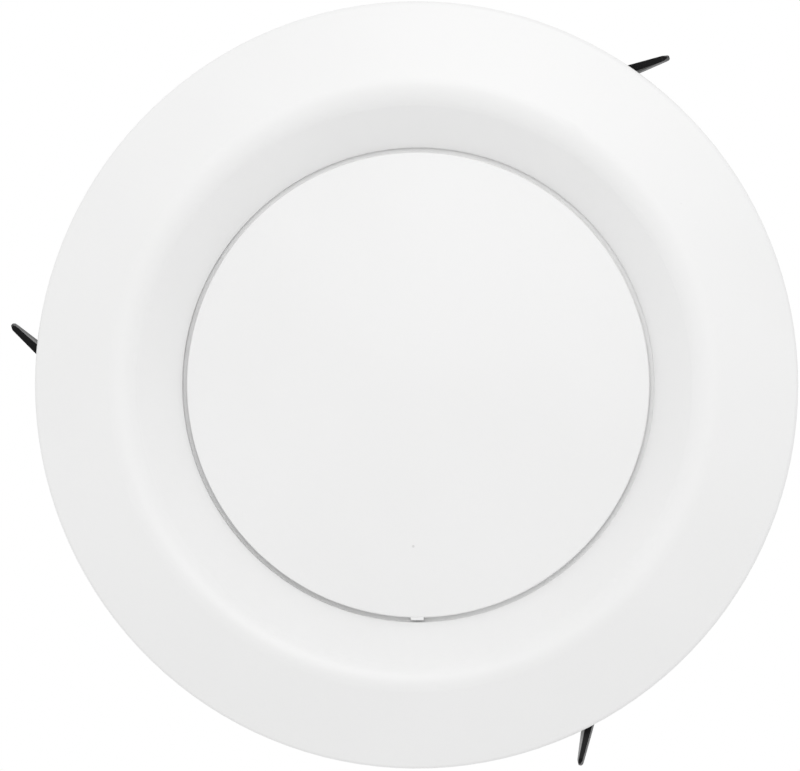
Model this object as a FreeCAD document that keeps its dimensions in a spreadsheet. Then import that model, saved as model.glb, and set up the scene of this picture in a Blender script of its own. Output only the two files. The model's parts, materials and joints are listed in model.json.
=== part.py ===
"""Round ceiling air diffuser for a 150 mm duct, in millimetres.

The origin is the centre of the ceiling plane, which is the back face of the rim.
+Z goes up into the duct, and the face looks down, along -Z.
A white face ring carries a duct collar. Inside it a three-spoke spider holds the nut
of a coarse spindle, and turning the domed disc on that spindle opens or closes the throat.
Three black spring arms on the collar clamp the ceiling board from above.
"""

import FreeCAD
import Part
import Sketcher
import math
import os

TURN = 360.0
ARMS = 3

# Driving dimensions: name, value, what it is.
SIZES = [
    ("rim_radius", 130.0, "outer radius of the face"),
    ("rim_edge", 1.6, "thickness at the outer edge of the rim"),
    ("rim_round", 1.3, "rounding of the rim's front edge"),
    ("outer_slope", 11.2, "degrees, slope of the outer cone"),
    ("inner_slope", 46.0, "degrees, slope of the inner cone"),
    ("throat_over", 6.8, "how much wider the throat's bore is than the spigot"),
    ("ridge_over", 17.5, "from the throat's bore to where the two cones would meet"),
    ("ridge_round", 10.3, "radius of the soft ridge"),
    ("shell_wall", 2.4, "wall of the face ring"),
    ("throat_round", 0.5, "rounding at the throat's mouth"),
    ("lip_drop", 1.8, "from the throat's mouth up to the seat lip"),
    ("lip_width", 2.7, "how far the seat lip stands inwards"),
    ("lip_thick", 1.0, "thickness of the seat lip's edge"),
    ("seat_height", 15.5, "top of the throat wall, where the collar sits"),
    ("rib_count", 12.0, "ribs behind the ridge"),
    ("rib_wall", 1.6, "thickness of those ribs"),
    ("gasket_width", 8.0, "width of the foam ring"),
    ("gasket_thick", 3.0, "thickness of the foam ring"),
    ("duct_radius", 74.0, "outer radius of the duct spigot"),
    ("duct_wall", 2.4, "wall of the spigot"),
    ("bead_out", 1.1, "how far the bead stands out"),
    ("spigot_length", 32.0, "from the bead to the spigot's top end"),
    ("flange_thick", 2.2, "thickness of the collar's flange"),
    ("flange_over", 1.0, "how far the flange stands past the throat wall"),
    ("ear_round", 5.5, "radius of an ear"),
    ("boss_round", 4.0, "radius of a screw boss"),
    ("boss_depth", 7.0, "length of a screw boss"),
    ("screw_shank", 1.6, "radius of a screw's shank"),
    ("screw_head", 3.1, "radius of a screw's head"),
    ("screw_head_thick", 1.9, "thickness of a screw's head"),
    ("screw_length", 6.5, "length of a screw in its boss"),
    ("first_arm_angle", 11.0, "degrees from +X to where the first arm belongs"),
    ("arm_1_off", -0.6, "degrees the first bracket is off its place, as in the photo"),
    ("arm_2_off", 1.3, "the same for the second bracket"),
    ("arm_3_off", 0.7, "the same for the third bracket"),
    ("arm_thick", 3.8, "thickness of an arm"),
    ("arm_root", 11.0, "height of an arm at its pivot"),
    ("arm_end", 6.8, "height of an arm at its tip"),
    ("tip_past_rim", 10.3, "how far the arms' tips stand past the rim"),
    ("tip_height", 4.0, "height of the tips' middle, at rest"),
    ("arm_taper", 15.0, "length of the thinned tip"),
    ("arm_tip_thick", 1.8, "thickness of the thinned tip"),
    ("arm_hub", 8.0, "radius of the arm's round hub"),
    ("arm_boss", 4.3, "radius of the arm's spring boss"),
    ("arm_inner_cut", 0.9, "bevel on the arm's lower edge towards the axis"),
    ("arm_outer_cut", 0.3, "bevel on its other lower edge"),
    ("pivot_over", 18.5, "height of the pivot pins above the throat wall"),
    ("pin_radius", 2.0, "radius of a pivot pin"),
    ("pin_play", 0.05, "running clearance of a pin in its arm"),
    ("pin_head", 3.8, "radius of a pin's outer head"),
    ("pin_head_thick", 1.4, "thickness of that head"),
    ("washer_thick", 0.8, "thickness of the arm washer"),
    ("washer_radius", 4.9, "outer radius of the arm washer"),
    ("bracket_wall", 2.0, "wall of a bracket where it is thinnest"),
    ("bracket_half", 13.0, "half the bracket's height"),
    ("side_gap", 0.3, "gap between parts that slide past each other"),
    ("rivet_radius", 1.6, "radius of a bracket rivet"),
    ("rivet_head", 2.9, "radius of a rivet's head"),
    ("rivet_sunk", 1.2, "thickness of a rivet's head, sunk flush"),
    ("arm_wire", 1.1, "wire of the arm springs"),
    ("arm_coil", 6.0, "mean coil radius of the arm springs"),
    ("arm_pitch", 1.7, "pitch of the arm springs"),
    ("arm_leg", 24.0, "length of the moving leg"),
    ("fixed_leg", 14.5, "length of the fixed leg"),
    ("disc_gap", 1.6, "gap round the disc"),
    ("disc_proud", 1.0, "how far the disc's edge stands out of the throat's mouth"),
    ("disc_edge", 1.1, "thickness of the disc's edge"),
    ("disc_over", 1.8, "how far that edge stands out past the skirt"),
    ("disc_dome", 2.6, "how far the middle of the disc bulges forward"),
    ("disc_wall", 2.2, "wall of the disc"),
    ("disc_skirt", 3.8, "height of the disc's skirt"),
    ("disc_round", 0.55, "rounding of the disc's front edge"),
    ("gate_width", 4.4, "width of the gate mark on the disc's edge"),
    ("gate_out", 0.85, "how far the gate mark stands out"),
    ("spindle_radius", 8.0, "radius of the spindle"),
    ("spindle_play", 0.05, "running clearance in the nut"),
    ("spindle_bore", 4.5, "radius of the spindle's hollow"),
    ("foot_thick", 3.0, "thickness of the foot"),
    ("cup_wall", 1.2, "wall of the spring cup"),
    ("cup_depth", 3.6, "height of the spring cup"),
    ("spring_wire", 1.4, "wire of the disc spring"),
    ("nut_flange_thick", 1.2, "thickness of the nut's flange"),
    ("hub_length", 13.0, "length of the spider's hub"),
    ("hoop_wall", 2.2, "wall of the spider's curved feet"),
    ("hoop_height", 13.0, "height of the spider's feet"),
    ("hoop_angle", 24.0, "degrees that each foot takes of the spigot's wall"),
    ("spoke_wall", 3.0, "thickness of a spoke"),
    ("clip_gap", 0.3, "gap left at the end of the disc's travel"),
    ("clip_thick", 1.2, "thickness of the stop clip"),
    ("groove_depth", 1.2, "depth of the clip's groove"),
    ("travel", 24.0, "how far the disc opens"),
]


class Size:
    """A dimension: its value now, and the same thing written for the sheet."""

    def __init__(self, value, text):
        self.value = float(value)
        self.text = text

    @staticmethod
    def of(thing):
        if isinstance(thing, Size):
            return thing
        return Size(thing, "(%r)" % float(thing))

    def __add__(self, other):
        other = Size.of(other)
        return Size(self.value + other.value, "(%s + %s)" % (self.text, other.text))

    def __radd__(self, other):
        return Size.of(other) + self

    def __sub__(self, other):
        other = Size.of(other)
        return Size(self.value - other.value, "(%s - %s)" % (self.text, other.text))

    def __rsub__(self, other):
        return Size.of(other) - self

    def __mul__(self, other):
        other = Size.of(other)
        return Size(self.value * other.value, "(%s * %s)" % (self.text, other.text))

    def __rmul__(self, other):
        return Size.of(other) * self

    def __truediv__(self, other):
        other = Size.of(other)
        return Size(self.value / other.value, "(%s / %s)" % (self.text, other.text))

    def __neg__(self):
        return Size.of(0.0) - self


def root_of(size):
    return Size(math.sqrt(size.value), "sqrt(%s)" % size.text)


def angle_of(rise, run):
    """Degrees of a slope, as a plain number."""
    degrees = math.degrees(math.atan2(rise.value, run.value))
    return Size(degrees, "(atan(%s / %s) / 1deg)" % (rise.text, run.text))


def tan_of(angle):
    return Size(math.tan(math.radians(angle.value)), "tan(%s * 1deg)" % angle.text)


def cos_of(angle):
    return Size(math.cos(math.radians(angle.value)), "cos(%s * 1deg)" % angle.text)


doc = FreeCAD.newDocument("ceiling_diffuser")
sheet = doc.addObject("Spreadsheet::Sheet", "Sizes")
for row, (name, value, words) in enumerate(SIZES, start=1):
    sheet.set("A%d" % row, str(value))
    sheet.set("B%d" % row, words)
    sheet.setAlias("A%d" % row, name)
doc.recompute()
D = {name: Size(getattr(sheet, name), "Sizes." + name) for name, value, words in SIZES}

# Sizes that follow from the driving ones.
D["throat_radius"] = D["duct_radius"] + D["throat_over"]
D["ridge_at"] = D["throat_radius"] + D["ridge_over"]
D["disc_radius"] = D["throat_radius"] - D["disc_gap"]
D["gasket_outer"] = D["rim_radius"] - 8.0
D["gasket_inner"] = D["gasket_outer"] - D["gasket_width"]
D["ear_radius"] = D["throat_radius"] + D["shell_wall"] + D["boss_round"]
D["bracket_plane"] = D["duct_radius"] + D["bracket_wall"]
D["arm_plane"] = D["bracket_plane"] + D["side_gap"] + D["arm_thick"] / 2.0
D["pivot_height"] = D["seat_height"] + D["pivot_over"]
D["bead_low"] = D["pivot_height"] + D["bracket_half"] + 1.0
D["collar_top"] = D["bead_low"] + D["spigot_length"]
tip_radius = D["rim_radius"] + D["tip_past_rim"]
arm_reach = root_of(tip_radius * tip_radius - D["arm_plane"] * D["arm_plane"])
D["arm_droop"] = angle_of(D["pivot_height"] - D["tip_height"], arm_reach)
D["arm_length"] = arm_reach / cos_of(D["arm_droop"])
D["hub_bottom"] = D["pivot_height"] - 1.0
D["hub_top"] = D["hub_bottom"] + D["hub_length"]
D["spoke_low"] = D["hub_bottom"] + 1.0
D["spoke_high"] = D["hub_top"] - 2.0
D["nut_radius"] = D["spindle_radius"] + 2.5
D["nut_flange"] = D["nut_radius"] + 2.0
D["hub_radius"] = D["nut_radius"] + 3.5
D["clip_radius"] = D["spindle_radius"] + 3.4
D["spring_coil"] = D["spindle_radius"] + 4.2
D["cup_radius"] = D["spring_coil"] + 3.4
D["foot_screws_at"] = D["cup_radius"] + 4.4
D["foot_radius"] = D["foot_screws_at"] + 4.0
D["hub_seat"] = D["seat_height"] - 0.5

parts = []


def bind(thing, prop, size):
    size = Size.of(size)
    thing.setExpression(prop, size.text)


def new_body(label, angle=None):
    """A body of its own, turned about the duct's axis by the angle."""
    made = doc.addObject("PartDesign::Body", label)
    made.Label = label
    if angle is not None:
        made.setExpression("Placement", "placement(vector(0; 0; 0); rotationz(%s))" % angle.text)
    parts.append(made)
    return made


def origin_of(body, role):
    return [f for f in body.Origin.OriginFeatures if f.Role == role][0]


def new_sketch(body, role, away=None):
    """A sketch on one of the body's own planes, moved along its normal."""
    sk = body.newObject("Sketcher::SketchObject", "sketch")
    sk.AttachmentSupport = [(origin_of(body, role), "")]
    sk.MapMode = "FlatFace"
    if away is not None:
        sk.setExpression("AttachmentOffset.Base.z", Size.of(away).text)
    return sk


def fix(sk, geo, end, x, y):
    """Ties a point of the sketch to two dimensions."""
    for kind, size in (("DistanceX", Size.of(x)), ("DistanceY", Size.of(y))):
        at = sk.addConstraint(Sketcher.Constraint(kind, -1, 1, geo, end, size.value))
        bind(sk, "Constraints[%d]" % at, size)


def outline(sk, corners):
    """A closed outline. Each corner is (x, y) or (x, y, rounding radius)."""
    pts = [(Size.of(c[0]), Size.of(c[1]), Size.of(c[2]) if len(c) > 2 else None) for c in corners]
    n = len(pts)
    flat = [FreeCAD.Vector(p[0].value, p[1].value, 0) for p in pts]
    starts = []
    ends = []
    arcs = {}
    for i in range(n):
        here = flat[i]
        back = (flat[i - 1] - here).normalize()
        on = (flat[(i + 1) % n] - here).normalize()
        if pts[i][2] is None:
            ends.append(here)
            starts.append(here)
            continue
        radius = pts[i][2].value
        half = back.getAngle(on) / 2
        leg = radius / math.tan(half)
        middle = here + (back + on).normalize() * (radius / math.sin(half))
        ends.append(here + back * leg)
        starts.append(here + on * leg)
        arcs[i] = (middle, radius)
    lines = []
    for i in range(n):
        lines.append(sk.addGeometry(Part.LineSegment(starts[i], ends[(i + 1) % n])))
    for i in range(n):
        before = lines[i - 1]
        after = lines[i]
        if i not in arcs:
            sk.addConstraint(Sketcher.Constraint("Coincident", before, 2, after, 1))
            fix(sk, after, 1, pts[i][0], pts[i][1])
            continue
        middle, radius = arcs[i]
        a = math.atan2(ends[i].y - middle.y, ends[i].x - middle.x)
        b = math.atan2(starts[i].y - middle.y, starts[i].x - middle.x)
        ccw = (b - a) % (2 * math.pi) < math.pi
        circle = Part.Circle(middle, FreeCAD.Vector(0, 0, 1), radius)
        lo, hi = (a, b) if ccw else (b, a)
        arc = sk.addGeometry(Part.ArcOfCircle(circle, lo, hi))
        first, last = (1, 2) if ccw else (2, 1)
        corner = sk.addGeometry(Part.Point(flat[i]), True)
        sk.addConstraint(Sketcher.Constraint("Tangent", before, 2, arc, first))
        sk.addConstraint(Sketcher.Constraint("Tangent", arc, last, after, 1))
        at = sk.addConstraint(Sketcher.Constraint("Radius", arc, radius))
        bind(sk, "Constraints[%d]" % at, pts[i][2])
        sk.addConstraint(Sketcher.Constraint("PointOnObject", corner, 1, before))
        sk.addConstraint(Sketcher.Constraint("PointOnObject", corner, 1, after))
        fix(sk, corner, 1, pts[i][0], pts[i][1])


def ring(sk, x, y, radius):
    """A circle in the sketch."""
    x, y, radius = Size.of(x), Size.of(y), Size.of(radius)
    middle = FreeCAD.Vector(x.value, y.value, 0)
    geo = sk.addGeometry(Part.Circle(middle, FreeCAD.Vector(0, 0, 1), radius.value))
    at = sk.addConstraint(Sketcher.Constraint("Radius", geo, radius.value))
    bind(sk, "Constraints[%d]" % at, radius)
    fix(sk, geo, 3, x, y)


def spin(body, corners, angle=TURN):
    """A solid of revolution about Z. Corners are (radius, height). Less than a turn is
    shared to both sides of the sketch."""
    sk = new_sketch(body, "XZ_Plane")
    outline(sk, corners)
    made = body.newObject("PartDesign::Revolution", "spin")
    made.Profile = sk
    made.ReferenceAxis = (sk, ["V_Axis"])
    made.Midplane = angle is not TURN
    bind(made, "Angle", angle)
    doc.recompute()
    return made


def grow(body, sk, length, both=False, down=False):
    """Pads a sketch along its normal, both ways from it, or backwards."""
    made = body.newObject("PartDesign::Pad", "pad")
    made.Profile = sk
    made.SideType = "Symmetric" if both else "One side"
    made.Reversed = down
    bind(made, "Length", length)
    doc.recompute()
    return made


def cut(body, sk, length, both=False, down=False):
    """Takes the sketch's shape out of the body, and checks that something went."""
    before = body.Shape.Volume
    made = body.newObject("PartDesign::Pocket", "cut")
    made.Profile = sk
    made.SideType = "Symmetric" if both else "One side"
    # A pocket goes against the sketch's normal unless it is reversed.
    made.Reversed = not down
    bind(made, "Length", length)
    doc.recompute()
    if not body.Shape.Volume < before - 0.01:
        raise ValueError("a cut in %s takes nothing away" % body.Label)
    return made


def repeat(body, feature, count):
    """Repeats a feature round the Z axis."""
    made = body.newObject("PartDesign::PolarPattern", "repeat")
    made.Originals = feature if isinstance(feature, list) else [feature]
    made.Axis = (origin_of(body, "Z_Axis"), [""])
    made.Angle = TURN
    bind(made, "Occurrences", count)
    body.Tip = made
    doc.recompute()
    return made


def is_round(edge):
    """True for an edge on a circle. The pole of a dome has an edge of no length."""
    return not edge.Degenerated and isinstance(edge.Curve, Part.Circle)


def circles_at(shape, radius, height):
    """Names of the round edges about Z with this radius and height."""
    found = []
    for i, edge in enumerate(shape.Edges, start=1):
        if not is_round(edge):
            continue
        middle = edge.Curve.Center
        near = abs(edge.Curve.Radius - radius) < 0.02 and abs(middle.z - height) < 0.02
        if near and math.hypot(middle.x, middle.y) < 0.02:
            found.append("Edge%d" % i)
    return found


def soften(body, kind, edges, size):
    """A fillet or chamfer on the named edges of the body's tip."""
    if not edges:
        raise ValueError("no edges to soften on %s" % body.Label)
    base = body.Tip
    made = body.newObject("PartDesign::" + kind, kind.lower())
    made.Base = (base, edges)
    bind(made, "Radius" if kind == "Fillet" else "Size", size)
    doc.recompute()
    return made


# Shared heights and radii of the face.
slope_out = tan_of(D["outer_slope"])
slope_in = tan_of(D["inner_slope"])
ridge_z = -D["rim_edge"] - (D["rim_radius"] - D["ridge_at"]) * slope_out
mouth_z = ridge_z + (D["ridge_at"] - D["throat_radius"]) * slope_in
lip_front = mouth_z + D["lip_drop"]
lip_in = D["throat_radius"] - D["lip_width"]
lift_out = D["shell_wall"] / cos_of(D["outer_slope"])
lift_in = D["shell_wall"] / cos_of(D["inner_slope"])
throat_outer = D["throat_radius"] + D["shell_wall"]
duct_inner = D["duct_radius"] - D["duct_wall"]
collar_seat = D["seat_height"] + D["flange_thick"]


def cone_back(radius):
    """Height of the outer cone's back at this radius."""
    return lift_out - D["rim_edge"] - (D["rim_radius"] - radius) * slope_out


def cone_front(radius):
    """Height of the outer cone's front at this radius."""
    return -D["rim_edge"] - (D["rim_radius"] - radius) * slope_out


def mouth_back(radius):
    """Height of the inner cone's back at this radius."""
    return mouth_z + lift_in - (radius - D["throat_radius"]) * slope_in


flat_from = D["rim_radius"] - (lift_out - D["rim_edge"]) / slope_out
back_ridge = (
    mouth_z + D["throat_radius"] * slope_in + lift_in
    + D["rim_edge"] + D["rim_radius"] * slope_out - lift_out
) / (slope_out + slope_in)

# Face ring: rim, outer cone, ridge, inner cone, throat wall and seat lip in one moulding.
face = new_body("face_ring", D["first_arm_angle"])
spin(face, [
    (D["rim_radius"], 0.0),
    (flat_from, 0.0),
    (back_ridge, cone_back(back_ridge), D["ridge_round"] - D["shell_wall"]),
    (throat_outer, mouth_back(throat_outer), 2.0),
    (throat_outer, D["seat_height"]),
    (D["throat_radius"], D["seat_height"]),
    (D["throat_radius"], lip_front + D["lip_thick"] + 1.6),
    (lip_in, lip_front + D["lip_thick"], 0.3),
    (lip_in, lip_front, 0.3),
    (D["throat_radius"], lip_front),
    (D["throat_radius"], mouth_z, D["throat_round"]),
    (D["ridge_at"], ridge_z, D["ridge_round"]),
    (D["rim_radius"], -D["rim_edge"], D["rim_round"]),
])

# Thin ribs in the valley behind the ridge.
rib_in = throat_outer + 9.4
rib_out = D["gasket_inner"] - 2.0
sk = new_sketch(face, "XZ_Plane")
outline(sk, [
    (rib_in, mouth_back(rib_in) - 0.8),
    (rib_in + 0.6, -0.6),
    (rib_out - 1.0, cone_back(rib_out) + 0.9),
    (rib_out, cone_back(rib_out) - 0.8),
    (back_ridge, cone_back(back_ridge) - 0.5),
])
rib = grow(face, sk, D["rib_wall"], both=True)
repeat(face, rib, D["rib_count"])

# Three screw bosses with gussets against the throat wall.
gusset_out = D["ear_radius"] + D["boss_round"]
sk = new_sketch(face, "XZ_Plane")
outline(sk, [
    (throat_outer - 0.8, D["seat_height"]),
    (gusset_out - 0.4, D["seat_height"]),
    (gusset_out - 0.4, mouth_back(gusset_out - 0.4) - 0.8),
    (throat_outer - 0.4, mouth_back(throat_outer - 0.4) - 0.8),
])
gusset = grow(face, sk, 2.4, both=True)
sk = new_sketch(face, "XY_Plane", D["seat_height"] - D["boss_depth"])
ring(sk, D["ear_radius"], 0.0, D["boss_round"])
boss = grow(face, sk, D["boss_depth"])
bosses = repeat(face, [gusset, boss], ARMS)
sk = new_sketch(face, "XY_Plane", D["seat_height"])
ring(sk, D["ear_radius"], 0.0, D["screw_shank"])
hole = cut(face, sk, D["screw_length"], down=True)
repeat(face, hole, ARMS)

# The bosses sit a quarter turn round from the arms.
ear_turn = D["first_arm_angle"] + 90.0
face.setExpression("Placement", "placement(vector(0; 0; 0); rotationz(%s))" % ear_turn.text)

# Foam ring that lies on the back of the outer cone.
gasket = new_body("rim_gasket")
spin(gasket, [
    (D["gasket_inner"], cone_back(D["gasket_inner"])),
    (D["gasket_outer"], cone_back(D["gasket_outer"])),
    (D["gasket_outer"], cone_back(D["gasket_outer"]) + D["gasket_thick"]),
    (D["gasket_inner"], cone_back(D["gasket_inner"]) + D["gasket_thick"]),
])

# Duct collar: spigot, base flange and ears, with holes for what is fixed to it.
collar = new_body("duct_collar", D["first_arm_angle"])
spin(collar, [
    (duct_inner, D["seat_height"]),
    (throat_outer + D["flange_over"], D["seat_height"]),
    (throat_outer + D["flange_over"], collar_seat),
    (D["duct_radius"], collar_seat, 2.6),
    (D["duct_radius"], D["bead_low"]),
    (D["duct_radius"] + D["bead_out"], D["bead_low"] + 0.5),
    (D["duct_radius"] + D["bead_out"], D["bead_low"] + 1.4),
    (D["duct_radius"], D["bead_low"] + 1.9),
    (D["duct_radius"], D["collar_top"] - 3.0),
    (D["duct_radius"] - 0.9, D["collar_top"]),
    (duct_inner, D["collar_top"]),
])
ear_in = D["throat_radius"]
sk = new_sketch(collar, "XY_Plane", D["seat_height"])
outline(sk, [
    (-D["ear_round"] - 4.0, ear_in),
    (D["ear_round"] + 4.0, ear_in),
    (D["ear_round"], D["ear_radius"] + D["ear_round"], D["ear_round"] - 0.6),
    (-D["ear_round"], D["ear_radius"] + D["ear_round"], D["ear_round"] - 0.6),
])
ear = grow(collar, sk, D["flange_thick"])
repeat(collar, ear, ARMS)
sk = new_sketch(collar, "XY_Plane", D["seat_height"] - 1.0)
ring(sk, 0.0, D["ear_radius"], D["screw_shank"] + 0.2)
hole = cut(collar, sk, D["flange_thick"] + 2.0)
repeat(collar, hole, ARMS)
rivet_spots = [
    (-D["bracket_half"] + 3.4, -D["bracket_half"] + 4.4),
    (D["bracket_half"] - 7.4, D["bracket_half"] - 3.6),
]
wall_start = duct_inner - 3.0
for k in range(ARMS):
    # The holes for an arm's pin and rivets lie on a plane turned to that arm's own angle.
    turn = D["arm_%d_off" % (k + 1)] + TURN / ARMS * k
    sk = new_sketch(collar, "YZ_Plane")
    spot = "vector(%s * sin(%s * 1deg); 0; %s * cos(%s * 1deg))" % (
        wall_start.text, turn.text, wall_start.text, turn.text)
    sk.setExpression("AttachmentOffset", "placement(%s; rotationy(%s))" % (spot, turn.text))
    ring(sk, 0.0, D["pivot_height"], D["pin_radius"])
    for y, z in rivet_spots:
        ring(sk, y, D["pivot_height"] + z, D["rivet_radius"])
    cut(collar, sk, 9.0)
spoke_mid = (D["spoke_low"] + D["spoke_high"]) / 2.0
side_hole = new_sketch(collar, "YZ_Plane", -duct_inner - 6.0)
ring(side_hole, 0.0, spoke_mid, D["screw_shank"])
hole = cut(collar, side_hole, 9.0)
repeat(collar, hole, ARMS)


def fastener(body, role, away, shank, length, head, thick, hollow=None):
    """A screw or rivet in a body of its own: the shank goes back from the plane, the head on."""
    sk = new_sketch(body, role, away)
    ring(sk, 0.0, 0.0, shank)
    grow(body, sk, length, down=True)
    sk = new_sketch(body, role, away)
    ring(sk, 0.0, 0.0, head)
    grow(body, sk, thick)
    edges = []
    for i, edge in enumerate(body.Tip.Shape.Edges, start=1):
        if is_round(edge) and abs(edge.Curve.Radius - head.value) < 0.01:
            edges.append((edge.Curve.Center.dot(FreeCAD.Vector(1, 1, 1)), "Edge%d" % i))
    outer = max(edges)[1]
    soften(body, "Fillet", [outer], thick * 0.45)


def group(label, source, places):
    """Copies of one piece at several placements, kept as separate solids in one node."""
    made = doc.addObject("Part::Feature", label)
    made.Label = label
    solids = []
    for place in places:
        shape = source.Shape.copy()
        shape.Placement = place.multiply(source.Shape.Placement)
        solids.append(shape)
    made.Shape = Part.makeCompound(solids)
    parts.append(made)
    parts.remove(source)
    return made


def turned(angle, radius=0.0, height=0.0):
    """A placement at this angle round the axis, radius out and height up."""
    way = FreeCAD.Rotation(FreeCAD.Vector(0, 0, 1), angle)
    return FreeCAD.Placement(way.multVec(FreeCAD.Vector(radius, 0, height)), way)


first = D["first_arm_angle"].value
even_angles = [first + TURN / ARMS * k for k in range(ARMS)]
arm_angles = [a + D["arm_%d_off" % (k + 1)].value for k, a in enumerate(even_angles)]

# Collar screws.
screw = new_body("collar_screw")
fastener(screw, "XY_Plane", collar_seat, D["screw_shank"],
         D["screw_length"] + D["flange_thick"] - 0.5, D["screw_head"], D["screw_head_thick"])
group("collar_screws", screw, [turned(a + 90.0, D["ear_radius"].value) for a in even_angles])

# Spider: a hub with the nut's bore and three spokes with curved feet on the spigot's wall.
spider_turn = D["first_arm_angle"] + 60.0
spider = new_body("spider", spider_turn)
hoop_out = duct_inner - 0.1
spin(spider, [
    (D["nut_radius"], D["hub_bottom"]),
    (D["hub_radius"], D["hub_bottom"], 1.0),
    (D["hub_radius"], D["hub_top"], 1.0),
    (D["nut_radius"], D["hub_top"]),
])
sk = new_sketch(spider, "YZ_Plane", D["nut_radius"] + 1.5)
edge = D["spoke_wall"] / 2.0
outline(sk, [
    (-edge, D["spoke_low"], edge * 0.8),
    (edge, D["spoke_low"], edge * 0.8),
    (edge, D["spoke_high"], edge * 0.8),
    (-edge, D["spoke_high"], edge * 0.8),
])
spoke = grow(spider, sk, hoop_out - D["nut_radius"] - 2.5)
repeat(spider, spoke, ARMS)
hoop_low = spoke_mid - D["hoop_height"] / 2.0
hoop_high = spoke_mid + D["hoop_height"] / 2.0
foot = spin(spider, [
    (hoop_out - D["hoop_wall"], hoop_low),
    (hoop_out, hoop_low),
    (hoop_out, hoop_high),
    (hoop_out - D["hoop_wall"], hoop_high),
], D["hoop_angle"])
repeat(spider, foot, ARMS)
sk = new_sketch(spider, "YZ_Plane", hoop_out - 8.0)
ring(sk, 0.0, spoke_mid, D["boss_round"])
boss = grow(spider, sk, 7.0)
repeat(spider, boss, ARMS)
sk = new_sketch(spider, "YZ_Plane", hoop_out - 6.5)
ring(sk, 0.0, spoke_mid, D["screw_shank"])
hole = cut(spider, sk, 8.0)
repeat(spider, hole, ARMS)

screw = new_body("spider_screw")
fastener(screw, "YZ_Plane", D["duct_radius"], D["screw_shank"], 7.6,
         D["screw_head"], D["screw_head_thick"] - 0.3)
group("spider_screws", screw, [turned(a + 60.0, 0.0, spoke_mid.value) for a in even_angles])

# Nut with a flange on top of the hub.
nut = new_body("thread_bush")
nut_bore = D["spindle_radius"] + D["spindle_play"]
nut_top = D["hub_top"] + D["nut_flange_thick"]
spin(nut, [
    (nut_bore, D["hub_bottom"] + 0.5),
    (D["nut_radius"], D["hub_bottom"] + 0.5),
    (D["nut_radius"], D["hub_top"]),
    (D["nut_flange"], D["hub_top"]),
    (D["nut_flange"], nut_top),
    (nut_bore, nut_top),
])

# Disc: domed plate with a skirt, ribs, a foot ring and three screw bosses.
disc_turn = Size.of(90.0)
disc = new_body("disc_plate", disc_turn)
disc_front = mouth_z - D["disc_proud"]
crown = disc_front - D["disc_dome"]
plate_back = crown + D["disc_wall"]
edge_back = disc_front + D["disc_edge"]
skirt_top = disc_front + D["disc_skirt"]
outer = D["disc_radius"]
skirt_out = outer - D["disc_over"]
inner = skirt_out - 1.8
sk = new_sketch(disc, "XZ_Plane")
sizes = [
    (Size.of(0.0), crown), (outer, disc_front), (outer, edge_back), (skirt_out, edge_back),
    (skirt_out, skirt_top), (inner, skirt_top), (inner, disc_front + D["disc_wall"]),
    (Size.of(0.0), plate_back),
]
pts = [(x.value, y.value) for x, y in sizes]


def dome_arc(start, end, sagitta):
    """The arc of the dome from the middle to the edge, level at the middle."""
    run = end[0] - start[0]
    radius = (run * run + sagitta * sagitta) / (2.0 * sagitta)
    middle = FreeCAD.Vector(start[0], start[1] + radius, 0)
    circle = Part.Circle(middle, FreeCAD.Vector(0, 0, 1), radius)
    lo = -math.pi / 2
    hi = math.atan2(end[1] - middle.y, end[0] - middle.x)
    return Part.ArcOfCircle(circle, lo, hi)


front_arc = sk.addGeometry(dome_arc(pts[0], pts[1], pts[1][1] - pts[0][1]))
chain = [front_arc]
for a, b in zip(pts[1:6], pts[2:7]):
    chain.append(sk.addGeometry(Part.LineSegment(FreeCAD.Vector(*a, 0), FreeCAD.Vector(*b, 0))))
back_arc = sk.addGeometry(dome_arc(pts[7], pts[6], pts[6][1] - pts[7][1]))
close = sk.addGeometry(Part.LineSegment(FreeCAD.Vector(*pts[7], 0), FreeCAD.Vector(*pts[0], 0)))
for a, b in zip(chain, chain[1:]):
    sk.addConstraint(Sketcher.Constraint("Coincident", a, 2, b, 1))
sk.addConstraint(Sketcher.Constraint("Coincident", chain[-1], 2, back_arc, 2))
sk.addConstraint(Sketcher.Constraint("Coincident", back_arc, 1, close, 1))
sk.addConstraint(Sketcher.Constraint("Coincident", close, 2, front_arc, 1))
fix(sk, front_arc, 1, *sizes[0])
for geo, place in zip(chain[1:], sizes[1:6]):
    fix(sk, geo, 1, *place)
fix(sk, back_arc, 2, *sizes[6])
fix(sk, close, 1, *sizes[7])
# Each arc is level at the middle, so its centre lies on the axis.
sk.addConstraint(Sketcher.Constraint("PointOnObject", front_arc, 3, -2))
sk.addConstraint(Sketcher.Constraint("PointOnObject", back_arc, 3, -2))
made = disc.newObject("PartDesign::Revolution", "spin")
made.Profile = sk
made.ReferenceAxis = (sk, ["V_Axis"])
made.Angle = TURN
doc.recompute()
edges = circles_at(disc.Tip.Shape, outer.value, disc_front.value)
soften(disc, "Fillet", edges, D["disc_round"])

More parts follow.
